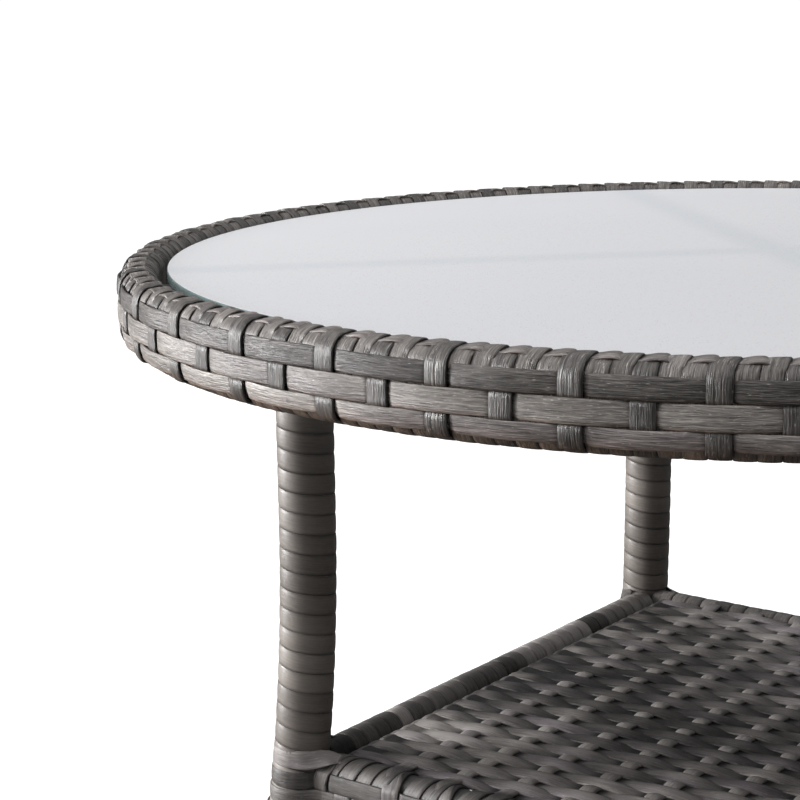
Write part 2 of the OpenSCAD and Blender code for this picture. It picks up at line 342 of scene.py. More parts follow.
def wicker(name, base, contrast, purple, rough, long_scale=1.0, grain=1.0, patch=0.0, brown=0.0,
           spec=0.45, seam=0.0, half=5.0, warm=0.015):
    """Synthetic rattan: long fine grooves, short light flecks, slow colour change along a strip.

    base: middle grey. contrast: slow change along a strip. purple: tinted lengths.
    long_scale: how fast those change. grain: strength of grooves and flecks.
    patch: blotches fixed in the table. brown: tint on faces that look down.
    seam: darkening along the edges of strips of the given half width. warm: red over blue."""
    g = Material(name)
    coords = g.node("Attribute")
    coords.attribute_name = "sc"
    tone = g.node("Attribute")
    tone.attribute_name = "tone"
    along, across, seed = g.split(coords.outputs["Vector"])

    def strip_noise(along_scale, across_scale, seed_scale, detail, roughness):
        vector = g.combine(g.times(along, along_scale), g.times(across, across_scale),
                           g.times(seed, seed_scale))
        return g.noise(vector, 1.0, detail, roughness)

    streak = strip_noise(0.055, 1.15, 7.3, 3.0, 0.75)
    fine = strip_noise(0.16, 2.1, 3.7, 1.0, 0.6)
    fleck = strip_noise(0.42, 2.0, 5.1, 1.0, 0.6)
    broad = strip_noise(0.011 * long_scale, 0.06, 1.9, 2.0, 0.5)
    per_seed = g.node("TexWhiteNoise")
    per_seed.noise_dimensions = "1D"
    g.feed(per_seed.inputs["W"], seed)

    grey = g.scaled(streak, 1.15 * grain, base - 0.575 * grain)
    grey = g.add(grey, g.centred(fine, 0.70 * grain))
    grey = g.add(grey, g.centred(broad, 0.95 * contrast))
    grey = g.add(grey, g.centred(per_seed.outputs["Value"], 0.12))
    grey = g.add(grey, tone.outputs["Fac"])
    grey = g.add(grey, g.times(g.rising(fleck, 0.635, 6.0), 0.55 * grain))
    # painted shade along the edges of each strip, in the grooves between neighbouring strips
    if seam:
        edge = g.rising(g.math("ABSOLUTE", across), half - 1.5, 1 / 1.3)
        grey = g.math("SUBTRACT", grey, g.times(edge, seam))
    if patch:
        mapping = g.node("Mapping")
        mapping.inputs["Scale"].default_value = (9.0, 15.0, 4.0)
        g.feed(mapping.inputs["Vector"], g.node("TexCoord").outputs["Object"])
        blotches = g.noise(mapping.outputs[0], 1.0, detail=1.5)
        grey = g.add(grey, g.centred(blotches, 1.6 * patch))
    colour = g.ramp(grey, [(position, (red * (1 + warm), green, blue * (1 - warm)))
                           for position, (red, green, blue) in WICKER_GREYS])
    hue_vector = g.combine(g.times(along, 0.006 * long_scale), g.times(across, 0.05),
                           g.scaled(seed, 2.3, 9.0))
    hue = g.rising(g.noise(hue_vector, 1.0, detail=1.0), 0.46, 5.0)
    colour = g.tint(colour, g.times(hue, purple * 2.0), PURPLE_TINT)
    if brown:
        normal = g.split(g.node("NewGeometry").outputs["Normal"])
        downward = g.rising(g.times(normal[2], -1.0), 0.12, 1.8)
        colour = g.tint(colour, g.times(downward, brown), BROWN_TINT)
    return g.surface({
        "Base Color": colour,
        "Roughness": g.scaled(fine, 0.30, rough - 0.15),
        "Specular IOR Level": spec,
        "Normal": g.bump(g.add(streak, g.times(fine, 0.8)), strength=0.8,
                         distance=0.00060 * grain),
    })


def speckled(name, dark, light, scale, rough, metallic=0.0):
    """Paint, plated metal or moulded plastic with fine and broad variation."""
    g = Material(name)
    position = g.node("TexCoord").outputs["Object"]
    fine = g.noise(position, scale, detail=4.0, rough=0.6)
    broad = g.noise(position, scale * 0.08)
    mixed = g.scaled(fine, 0.6, g.times(broad, 0.4))
    return g.surface({
        "Base Color": g.ramp(mixed, [(0.3, dark), (0.7, light)]),
        "Roughness": g.scaled(fine, 0.25, rough - 0.12),
        "Metallic": metallic,
        "Specular IOR Level": 0.5,
        "Normal": g.bump(fine, strength=0.3, distance=0.0003),
    })


def frosted_glass():
    g = Material("frosted_glass")
    position = g.node("TexCoord").outputs["Object"]
    fine = g.noise(position, 1500.0, detail=3.0)
    broad = g.noise(position, 6.0, detail=3.0)
    colour = g.ramp(broad, [(0.3, (0.885, 0.890, 0.925)), (0.7, (0.915, 0.918, 0.945))])
    # painted shade of the crossed bars below, as two soft diagonal bands where they would show
    # through the frosting
    x, y, _ = g.split(position)
    bands = []
    for operation in ("ADD", "SUBTRACT"):
        distance = g.math("ABSOLUTE", g.math(operation, x, y))
        bands.append(g.math("SUBTRACT", 1.0, g.rising(distance, 0.007, 1 / 0.017)))
    band = g.math("MAXIMUM", *bands)
    # frosting only shows what lies close under it, so the bands go when the pane is lifted
    height = g.split(g.node("NewGeometry").outputs["Position"])[2]
    close = g.math("MULTIPLY", g.math("SUBTRACT", 0.4585, height), 50.0, clamp=True)
    colour = g.tint(colour, g.times(g.times(band, 0.60), close), (0.86, 0.895, 0.91))
    roughness = g.scaled(fine, 0.10, 0.24)
    # painted glow standing in for light scattered inside the pane, stronger towards the left and the
    # back
    glow = g.add(g.times(x, -0.22), g.times(y, 0.07))
    return g.surface({
        "Base Color": colour,
        "Roughness": roughness,
        "Emission Color": (0.95, 0.97, 1.0, 1.0),
        "Emission Strength": g.math("ADD", glow, 0.045, clamp=True),
        "Transmission Weight": 0.06,
        "Specular IOR Level": 0.30,
        "IOR": 1.5,
    })


def green_glass_edge():
    g = Material("glass_edge")
    variation = g.noise(g.node("TexCoord").outputs["Object"], 220.0, detail=3.0)
    return g.surface({
        "Base Color": g.ramp(variation, [(0.3, (0.30, 0.44, 0.42)), (0.7, (0.42, 0.56, 0.53))]),
        "Roughness": 0.12,
        "Transmission Weight": 0.35,
    })


def pale_floor():
    """A floor that the camera sees brighter than the table does."""
    g = Material("pale_floor")
    seen = g.node("LightPath").outputs["Is Camera Ray"]
    glow = g.times(seen, 0.72)
    variation = g.noise(g.node("TexCoord").outputs["Object"], 3.0)
    grey = g.add(g.times(seen, 0.40), g.scaled(variation, 0.04, 0.10))
    return g.surface({
        "Base Color": g.combine(grey, grey, grey),
        "Roughness": 0.9,
        "Specular IOR Level": 0.05,
        "Emission Color": (1.0, 1.0, 1.0, 1.0),
        "Emission Strength": glow,
    })


RIM_WICKER = wicker("wicker_rim", base=0.49, contrast=0.75, purple=0.25, rough=0.47,
                    brown=0.8, spec=0.55, warm=0.03)
WRAP_WICKER = wicker("wicker_wrap", base=0.475, contrast=0.7, purple=0.2, rough=0.42,
                     long_scale=0.5, brown=1.0, spec=0.65, seam=0.16, half=4.9, warm=0.03)
LEG_WICKER = wicker("wicker_leg", base=0.585, contrast=0.35, purple=0.0, rough=0.44,
                    long_scale=0.6, grain=0.20, spec=0.52, seam=0.16, half=5.1, warm=0.055)
BAND_WICKER = wicker("wicker_band", base=0.47, contrast=0.55, purple=0.2, rough=0.50,
                     long_scale=0.5, grain=0.45, seam=0.07, half=5.1)
SHELF_WICKER = wicker("wicker_shelf", base=0.385, contrast=1.0, purple=0.5, rough=0.52,
                      grain=0.6, patch=0.7, seam=0.12, half=4.9)
STEEL = speckled("coated_steel", dark=(0.030, 0.029, 0.028), light=(0.060, 0.057, 0.054),
                 scale=900.0, rough=0.45)
ZINC = speckled("zinc_plated", dark=(0.46, 0.46, 0.45), light=(0.66, 0.65, 0.62),
                scale=500.0, rough=0.34, metallic=1.0)
PLASTIC = speckled("black_plastic", dark=(0.012, 0.012, 0.013), light=(0.032, 0.031, 0.031),
                   scale=700.0, rough=0.50)
SILICONE = speckled("clear_silicone", dark=(0.50, 0.53, 0.53), light=(0.62, 0.65, 0.65),
                    scale=300.0, rough=0.35)


# ------------------------------------------------------------------ rim
# Every third wrap is a stake that the row strips pass under. Stakes take turns: a "pair" stake
# lies over the upper and lower rows, a "middle" stake over the middle row.
RIM_WRAPS = 228
PITCH = 2 * math.pi / RIM_WRAPS
PHASE = math.radians(-0.2)
STAKE_EVERY = 6                          # wraps between two stakes of the same kind
RIM_STAKES = {0: "pair", 3: "middle"}    # kind by wrap number within STAKE_EVERY
RIM_LENGTH = section_length(HOOP_TOP_Z, HOOP_LOW_Z)
RIM_S = np.concatenate([np.linspace(0, 6, 5)[:-1], np.arange(6.0, 62.0, 0.95),
                        np.linspace(62.0, RIM_LENGTH, 18)])
# raised stretches of a wrap: height, start and end along the section, ramp
STAKE_LIFT = 1.75
BOTTOM_LIFT = (0.35, -4.0, 6.5, 3.0)
EVEN_LIFT = (0.60, 38.6, 47.6, 2.8)      # over the crown strip
ODD_LIFT = (0.60, 34.0, 41.2, 2.4)
RIM_LIFTS = {
    "pair": [(STAKE_LIFT, 26.0, 37.6, 2.6), (STAKE_LIFT, 6.9, 16.3, 2.6),
             (STAKE_LIFT - 0.1, 30.0, 42.5, 4.0)],
    "middle": [(STAKE_LIFT, 15.6, 26.6, 2.6)],
    "": [],
}
# sideways lean of a wrap, in pitches, by distance along the section
LEAN = [(0, 0), (34.5, 0), (38.5, 0.04), (44.3, 0.23), (52.0, 0.38), (59.3, 0.54),
        (77.6, 0.82), (91.2, 1.0)]
BAR_GAP = (60.3, 73.6)                   # stretch left out where a bar meets the rim
BAR_HALF = 15.0


def rim_wraps(stakes, fills):
    s = RIM_S
    for i in range(RIM_WRAPS):
        kind = RIM_STAKES.get(i % STAKE_EVERY, "")
        even = i % 2 == 0
        lift = lifts(s, [*RIM_LIFTS[kind], BOTTOM_LIFT, EVEN_LIFT if even else ODD_LIFT])
        # drawn tight on the inner shoulder of the rim
        offset = lift - 0.55 * smooth_step((s - 44.5) / 5.0) + rng.normal(0, 0.05)
        out, z, cos, sin = section(s, offset, HOOP_TOP_Z, HOOP_LOW_Z)
        theta = PHASE + PITCH * i + PITCH * np.interp(s, *zip(*LEAN)) + rng.normal(0, 0.10) / 323.0
        radius = HOOP_R + out
        path, normals = around(theta, radius, z), around(theta, cos, sin)
        # raised stretches keep at least the full strip width
        width = 0.985 * PITCH * radius
        raised = np.clip(offset / 1.3, 0, 1)
        width = width * (1 - raised) + np.maximum(width, 9.75) * raised
        if even:
            width = width + 0.7 * window(s, 39.0, 52.0, 4.0)
        # painted shade underneath, on the inner face and towards the left side of the rim
        leftness = math.cos(theta[0] - math.radians(198.0))
        tone = np.where(s < 6.0, -0.08, 0.0) + np.where(s > 55, -0.05, 0.0)
        tone = tone + 0.02 * math.sin(i * 0.9)
        tone = tone - (0.15 + 0.11 * leftness if kind else 0.08 * max(0.0, leftness) ** 3)
        roll = (-0.08 if even else -0.04) * window(s, 39.0, 58.0, 5.0)
        # the bars meet the inner face on the diagonals
        inner_angle = math.degrees(theta[len(theta) * 2 // 3])
        from_bar = math.radians(abs(inner_angle % 90.0 - 45.0)) * (HOOP_R - WRAP_R)
        spans = [(0.0, math.inf)]
        if from_bar < BAR_HALF:
            spans = [(0.0, BAR_GAP[0]), (BAR_GAP[1], math.inf)]
        for start, end in spans:
            part = (s >= start) & (s <= end)
            (stakes if kind else fills).add(
                path[part], normals[part], width[part], start=i * 91.0 + start,
                seed=i % 7 * 0.013, tone=tone[part], flat=0.5, roll=roll[part])


ROW_REST = 1.3      # offset at which a row strip lies on its nominal radius


def row_lift(distance):
    """Height of a row strip near a stake that crosses over it at distance 0."""
    up_left = 1 - smooth_step((distance + 5.4) / 2.2)
    up_right = smooth_step((distance - 4.5) / 2.1)
    return -0.15 + 1.35 * np.maximum(up_left, up_right)


def from_nearest(theta, first, every, radius):
    """Distance along the rim from the nearest of the wraps first, first + every, ..."""
    wraps = (theta - PHASE) / PITCH - first
    return (wraps - every * np.round(wraps / every)) * PITCH * radius


# face angle (degrees), height, radius about the hoop, width, bow between stakes,
# number of the first stake above it, seed, tone, painted shade on the left side
RIM_ROWS = [
    (4.0, 428.45, 10.05, 8.9, 1.3, 0, 1.37, -0.21, 0.10),
    (0.0, 418.7, 10.05, 10.0, 1.3, 3, 2.71, 0.10, 0.03),
    (-12.0, 409.7, 9.85, 7.9, 1.1, 0, 4.13, 0.16, 0.03),
]


def rim_row(face, height, face_radius, width, bow, first_stake, seed, tone, left_shade):
    steps = RIM_WRAPS // STAKE_EVERY * 34
    theta = np.linspace(0, 2 * math.pi, steps, endpoint=False)
    stake_radius = HOOP_R + 10
    distance = from_nearest(theta, first_stake, STAKE_EVERY, stake_radius)
    # each visible length is bowed, highest halfway between its stakes
    half = STAKE_EVERY / 2 * PITCH * stake_radius
    arch = np.clip((np.abs(distance) - 5.5) / (half - 5.5), 0, 1)
    offset = row_lift(distance) - 0.30 + bow * np.sin(arch * math.pi / 2) ** 1.1
    # slight swell over the other stakes
    other = from_nearest(theta, first_stake + 3, STAKE_EVERY, stake_radius)
    offset = offset + 0.10 * np.exp(-(other / 6.0) ** 2)
    cos, sin = math.cos(math.radians(face)), math.sin(math.radians(face))
    radius = HOOP_R + (face_radius + offset - ROW_REST) * cos
    z = height + (offset - ROW_REST) * sin + 0.12 * np.sin(theta * 19 + seed)
    # narrower where it dives under a stake
    widths = (width - 1.3 * (1 - np.clip((offset - 0.1) / 1.0, 0, 1))
              + 0.12 * np.sin(theta * 23 + seed * 3))
    # painted shade towards the left side of the rim
    tones = tone - left_shade * np.maximum(0, np.cos(theta - math.radians(190.0))) ** 3
    row = Strips()
    row.add(around(theta, radius, z)[::-1], around(theta, cos, sin)[::-1], widths[::-1],
            closed=True, start=seed * 137.0, seed=seed, tone=tones[::-1], flat=0.35)
    return row


def crown_strip():
    """Runs over every odd wrap and under every even one on top of the rim."""
    theta = np.linspace(0, 2 * math.pi, RIM_WRAPS * 9, endpoint=False)
    distance = from_nearest(theta, 1.23, 2, HOOP_R + 1.4)
    over = smooth_step((distance + 5.6) / 8.0) * (1 - smooth_step((distance - 4.5) / 1.6))
    place_angle, face_angle = math.radians(79.0), math.radians(85.0)
    rise = WRAP_R - 0.50 + 1.05 * over
    path = around(theta, HOOP_R + rise * math.cos(place_angle),
                  HOOP_TOP_Z + rise * math.sin(place_angle))
    normals = around(theta, math.cos(face_angle), math.sin(face_angle))
    crown = Strips()
    crown.add(path[::-1], normals[::-1], 8.6 + 0.3 * over[::-1], closed=True, seed=6.1,
              tone=0.08, flat=0.6)
    return crown


# ------------------------------------------------------------------ legs
WIND_LOW = 23.1          # where the winding starts, along the leg from the floor
WIND_TOP_Z = 413.5
WIND_PITCH = 10.2        # also the width of the winding strip
END_TURN_WIDTH = 6.2


def leg_centre(s):
    """Centre line of a leg at distance s from its floor point: radial place, height, tilt."""
    low_z = BEND_TOP_Z - BEND_R * math.sin(BEND_ANGLE)
    splay = BEND_R * (1 - math.cos(BEND_ANGLE))
    bend_start = low_z / math.cos(BEND_ANGLE)
    foot = LEG_R + splay + low_z * math.tan(BEND_ANGLE)
    bend_length = BEND_R * BEND_ANGLE
    bend_end = bend_start + bend_length
    tilt = np.clip((bend_length - (s - bend_start)) / BEND_R, 0, BEND_ANGLE)
    parts = [s < bend_start, s < bend_end]
    radial = np.select(parts, [foot - s * math.sin(BEND_ANGLE),
                               LEG_R + BEND_R * (1 - np.cos(tilt))], LEG_R)
    z = np.select(parts, [s * math.cos(BEND_ANGLE), BEND_TOP_Z - BEND_R * np.sin(tilt)],
                  BEND_TOP_Z + (s - bend_end))
    return radial, z, tilt


LEG_S = np.linspace(0, 440, 4401)
LEG_RADIAL, LEG_Z, _ = leg_centre(LEG_S)
WIND_TOP = float(np.interp(WIND_TOP_Z, LEG_Z, LEG_S))


def leg_xy(z):
    """Distance of the leg centre from the table centre along x, and along y, at a height."""
    return float(np.interp(z, LEG_Z, LEG_RADIAL)) / math.sqrt(2)


def around_leg(s, turn, radius):
    """Points and normals round a leg that stands towards +X."""
    radial, z, tilt = leg_centre(s)
    zero = np.zeros(len(s))
    outward = np.stack([np.cos(tilt), zero, np.sin(tilt)], 1)
    normals = np.cos(turn)[:, None] * outward + np.sin(turn)[:, None] * np.array([0.0, 1.0, 0.0])
    return np.stack([radial, zero, z], 1) + (radius * normals.T).T, normals


def leg_winding(k, direction):
    winding = Strips()

    def add(path, normals, *args, **options):
        winding.add(turned(path, direction), turned(normals, direction), *args, **options)

    start, end = WIND_LOW + 5.0, WIND_TOP - 5.0
    turns = (end - start) / WIND_PITCH
    along = np.linspace(0, 1, int(turns * 40))
    turn = -2 * math.pi * turns * along + 0.7 * k
    radius = 13.65 + 0.04 * np.sin(turn * 0.37 + k)
    add(*around_leg(start + (end - start) * along, turn, radius),
        WIND_PITCH + 0.1 * np.sin(turn * 0.21), start=k * 911.0, seed=0.4 * k,
        tone=-0.02 + 0.05 * np.sin(turn * 0.13 + k), wound=True)
    # plain turns that close the sleeve at both ends
    turn = np.linspace(0, 2 * math.pi, 64, endpoint=False)[::-1]
    for s in (WIND_LOW + 3.2, WIND_TOP - 3.2):
        add(*around_leg(np.full(64, s), turn, 13.4), END_TURN_WIDTH, thickness=1.4, closed=True,
            start=k * 77.0, seed=0.4 * k + 0.2, tone=-0.04)
    return winding


# ------------------------------------------------------------------ band
# Each side is built as the front one, with x running to the right, and turned into place.
WARP_NUMBERS = range(-4, 5)
WARP_X = [3.5 + 30.0 * k for k in WARP_NUMBERS]
BAND_PITCH = 10.0
WARP_SHIFT = 5.0             # sideways step of a warp between the band and the shelf
BAND_LENGTH = section_length(RAIL_TOP_Z, RAIL_LOW_Z)
BAND_CROWN = QUARTER + (RAIL_TOP_Z - RAIL_LOW_Z)   # section distance where the crown starts
# height, width, face angle (degrees), tone of each row strip
BAND_ROWS = [(177.65, 9.6, 3.0, -0.16), (167.8, 9.8, 0.0, -0.02), (158.2, 8.9, -12.0, 0.0)]
# tone of the left rail by y, from the front to the back: light and dark wraps, with painted shade
# next to the front left leg
LEFT_RAIL_TONES = [
    (-160, -0.40), (-146, -0.40), (-138, -0.18), (-104, -0.18), (-103, 0.26), (-94, 0.26),
    (-93, -0.05), (-84, 0.06), (-78, 0.14), (-44, 0.12), (-36, -0.10), (10, -0.08),
    (14, 0.46), (86, 0.44), (90, -0.18), (106, -0.16), (110, 0.24), (160, 0.16),
]
# height round the leg, width and tone of the corner strip at the left end of each side
CORNER_STRIPS = {FRONT: (188.6, 8.8, 0.24), RIGHT: (185.4, 7.0, -0.12),
                 BACK: (185.4, 7.0, -0.12), LEFT: (183.6, 7.0, -0.12)}


def outer_distance(z):
    """Section distance on the outer face of the band at a height."""
    if z > RAIL_TOP_Z:
        return BAND_CROWN + WRAP_R * math.asin(min(1, (z - RAIL_TOP_Z) / WRAP_R))
    if z > RAIL_LOW_Z:
        return QUARTER + (z - RAIL_LOW_Z)
    return QUARTER + WRAP_R * math.asin(max(-1, (z - RAIL_LOW_Z) / WRAP_R))


UPPER, MIDDLE, LOWER = [(outer_distance(z - width / 2), outer_distance(z + width / 2))
                        for z, width, _, _ in BAND_ROWS]
BAND_LIFTS = {
    "pair": [(1.7, UPPER[0] - 0.2, UPPER[1] + 0.8, 2.6), (1.7, LOWER[0] - 0.6, LOWER[1] + 0.2, 2.6)],
    "middle": [(1.7, MIDDLE[0] - 0.4, MIDDLE[1] + 0.4, 2.6)],
    "": [],
}


def band_wrap_places(angle):
    """Wraps of one side: x, number counted from the first warp (None beside a leg), kind."""
    facing = -1 if angle == BACK else 1
    first_warp = min(facing * x for x in WARP_X) + WARP_SHIFT
    places = []
    for m in range(-3, 30):
        x = first_warp + BAND_PITCH * m
        if -147.0 < x < 150.5:
            kind = ("middle" if (m // 3) % 2 else "pair") if m % 3 == 0 else ""
            places.append((x, m, kind))
    # narrow wraps fill up to the legs
    first, last = places[0][0], places[-1][0]
    before, after = [(-155.5, None, "pair")], [(156.5, None, "")]
    if first > -142.5:
        before.append((first - 9.6, None, ""))
    if last < 143.0:
        after.insert(0, (last + 9.6, None, ""))
    return before + places + after


def warp_number(angle, m):
    """Number of the shelf warp that a wrap turns into, or None."""
    if angle not in (FRONT, BACK) or m is None or m % 3:
        return None
    k = m // 3 + WARP_NUMBERS[0]
    if k not in WARP_NUMBERS:
        return None
    return -k if angle == BACK else k


def band_tone(angle, x, s, kind, group):
    # painted shade underneath the rails, and on the front side over the crown and down the inner
    # face
    tone = np.where(s < 6, -0.08, 0.0) + (0.05 if kind else -0.03)
    if angle == FRONT:
        return tone + 0.3 * group - 0.05 - 0.20 * smooth_step((s - BAND_CROWN - 4.0) / 8.0)
    if angle == LEFT:
        on_top = 0.3 + 0.7 * smooth_step((s - UPPER[1] + 1.0) / 5.0)
        # the left rail table includes painted shade next to the front left leg
        return tone + 0.8 * group + np.interp(-x, *zip(*LEFT_RAIL_TONES)) * on_top
    return tone + 2.0 * group + 0.04


def band_section(s, offset, x, angle):
    """Path and normals of a wrap round the two rails of one side."""
    out, z, cos, sin = section(s, offset, RAIL_TOP_Z, RAIL_LOW_Z)
    path = np.stack([x + 0 * s, -(RAIL_Y + out), z], 1)
    return turned(path, angle), turned(np.stack([0 * s, -cos, sin], 1), angle)


def band_wraps(wraps, angle, warp_ends):
    """Adds the wraps of one side and keeps the outer lengths of those that become warps."""
    s = np.arange(0.0, BAND_LENGTH, 1.05)
    front = angle == FRONT
    for x, m, kind in band_wrap_places(angle):
        k = warp_number(angle, m)
        offset = lifts(s, BAND_LIFTS[kind]) + rng.normal(0, 0.06)
        if k is None:
            lean = (13.0 if front else 0.0) * np.interp(
                s, [0, BAND_CROWN - 3, BAND_CROWN + QUARTER, BAND_CROWN + 2 * QUARTER, BAND_LENGTH],
                [0, 0, 0.5, 0.9, 1.0])
        else:
            offset = offset + 0.15 * window(s, BAND_CROWN + 6, BAND_CROWN + 30, 6)
            lean = -WARP_SHIFT * smooth_step((s - BAND_CROWN - 2) / 22.0)
        path, normals = band_section(s, offset, x + lean + rng.normal(0, 0.12), angle)
        width = (8.2 if m is None else 10.25) + 0.15 * np.clip(offset, 0, 1)
        # slow change of tone from wrap to wrap
        group = (0.055 * math.sin(x * 0.071 + angle) + 0.06 * math.sin(x * 0.023 + 2.0 * angle)
                 + rng.normal(0, 0.025))
        tone = band_tone(angle, x, s, kind, group)
        if k is None:
            roll = (-0.09 * window(s, BAND_CROWN, BAND_LENGTH - 8.0, 8.0)
                    * (1.0 if front else 0.2))
            wraps.add(path, normals, width, start=(angle * 3.3 + x) * 9.1, seed=angle * 0.01,
                      tone=tone, flat=0.8, roll=roll)
            continue
        # this strip goes on across the shelf, over a plain wrap that runs below it
        on_crown = window(s, BAND_CROWN + 2.0, BAND_CROWN + 60, 5.0)[:, None]
        path = path + normals * ((0.05 if front else -0.75) * on_crown)
        kept = s <= BAND_CROWN + WRAP_R * math.radians(106)
        warp_ends[(angle, k)] = path[kept], normals[kept], width[kept], tone[kept]
        wraps.add(*band_section(s, -0.15, x, angle), 9.9, start=(angle + x) * 9.3,
                  seed=angle * 0.01, tone=tone - 0.05, flat=0.7)


def band_row(row, index, angle):
    """Adds one row strip: round the left leg, a fillet, the straight, and the mirror image."""
    height, width, face, tone = BAND_ROWS[index]
    leg = leg_xy(height)
    leg_radius, fillet_radius, face_y = 13.95, 12.0, RAIL_Y + 10.05
    rise = fillet_radius + face_y - leg
    run = math.sqrt((leg_radius + fillet_radius) ** 2 - rise ** 2)
    straight_end = leg - run
    meeting = math.atan2(-rise, run)
    # columns: x, y and the x and y parts of the normal
    turn = np.linspace(math.radians(225 - 360), meeting, 26)[:-1]
    cos, sin = np.cos(turn), np.sin(turn)
    round_leg = np.stack([-leg + leg_radius * cos, -leg + leg_radius * sin, cos, sin], 1)
    turn = np.linspace(meeting + math.pi, math.pi / 2, 12)[:-1]
    cos, sin = np.cos(turn), np.sin(turn)
    fillet = np.stack([-straight_end + fillet_radius * cos,
                       -(face_y + fillet_radius) + fillet_radius * sin, -cos, -sin], 1)
    along = np.linspace(-straight_end, straight_end, 330)
    straight = np.stack([along, 0 * along - face_y, 0 * along, 0 * along - 1.0], 1)
    corner = np.concatenate([round_leg, fillet])
    x, y, out_x, out_y = np.concatenate([corner, straight, corner[::-1] * [-1, 1, -1, 1]]).T

    offset = np.full(len(x), ROW_REST)
    on_straight = np.abs(x) <= straight_end + 0.01
    for stake_x, _, kind in band_wrap_places(angle):
        distance = x - stake_x
        if kind == ("middle" if index == 1 else "pair"):
            near = (np.abs(distance) < 14) & (y < -leg - 3.0)
            offset = np.where(near, np.minimum(offset, row_lift(distance)), offset)
        elif kind:
            offset = offset + np.where(on_straight, 0.15 * np.exp(-(distance / 6.0) ** 2), 0)
    out = offset - ROW_REST
    path = np.stack([x + out_x * out, y + out_y * out, np.full(len(x), height)], 1)
    cos, sin = math.cos(math.radians(face)), math.sin(math.radians(face))
    normals = np.stack([out_x * cos, out_y * cos, np.full(len(x), sin)], 1)
    row.add(turned(path, angle)[::-1], turned(normals, angle)[::-1], width,
            start=angle * 5.0 + index * 300, seed=0.7 * index + angle * 0.011, tone=tone)


def corner_strip(strips, angle):
    """Adds the strip that rounds the outside of a leg and ends on the crowns of both rails."""
    leg_z, base_width, tone = CORNER_STRIPS[angle]
    leg = leg_xy(188.0)
    arc_part = 0.56                      # share of each half that lies round the leg
    v = np.linspace(-1.0, 1.0, 121)
    reach = np.abs(v)
    turn = math.radians(225) + math.radians(70) * np.minimum(1.0, reach / arc_part)
    along = np.maximum(0.0, (reach - arc_part) / (1 - arc_part))
    on_rail = smooth_step(along)
    on_leg = 1 - on_rail
    cos, sin = np.cos(turn), np.sin(turn)
    path = np.stack([-leg + 14.0 * cos + 20.0 * along,
                     (-leg + 14.0 * sin) * on_leg - (RAIL_Y + 3.4) * on_rail,
                     leg_z * on_leg + (RAIL_TOP_Z + 9.6) * on_rail], 1)
    normals = np.stack([cos * on_leg, sin * on_leg - 0.34 * on_rail,
                        0.10 * on_leg + 0.94 * on_rail], 1)
    # the other half mirrors this about the diagonal
    mirrored = v < 0
    for vectors in (path, normals):
        vectors[mirrored] = vectors[mirrored][:, [1, 0, 2]]
        soften(vectors, 10)
    # both ends go down between the wraps
    tuck = smooth_step((reach - 0.84) / 0.16)
    path = path - unit(normals) * (1.7 * tuck)[:, None]
    width = base_width + smooth_step((reach - 0.4) / 0.3) - 4.0 * tuck
    strips.add(turned(path, angle), turned(normals, angle), width, thickness=1.0,
               start=angle * 2.0, seed=3.3 + angle * 0.01, tone=tone, flat=0.8)


# ------------------------------------------------------------------ shelf
# Warps run front to back, wefts run left to right and curl round a rod at each end.
WARP_GAP = WARP_X[1] - WARP_X[0]
WARP_ZERO_X = 3.5
WEFT_PITCH, WEFT_ZERO_Y = 9.2, -0.5
WEFT_LAST = 17                           # wefts are numbered from -17 to 17
WEFT_Y_LIMIT = 155.6
WEAVE_Z = 186.15
WEFT_HEIGHT, WARP_HEIGHT = 0.95, 0.85    # half the up and down travel of a strip
ROD_X, ROD_Z, CURL_R = 148.8, 181.95, 4.75
# light and dark groups of wefts, partly painted shade from the table top, darkest in the middle:
# tone by y
WEFT_TONES = [(-157, 0.19), (-120, 0.22), (-96, 0.07), (-68, -0.17), (-30, -0.17), (26, -0.15),
              (60, -0.09), (104, -0.10), (122, 0.0), (136, 0.18), (157, 0.20)]
ODD_WEFT_TONES = {4: 0.24, 5: 0.12, -3: 0.10, -7: 0.08, 9: 0.08}   # extra tone by weft number


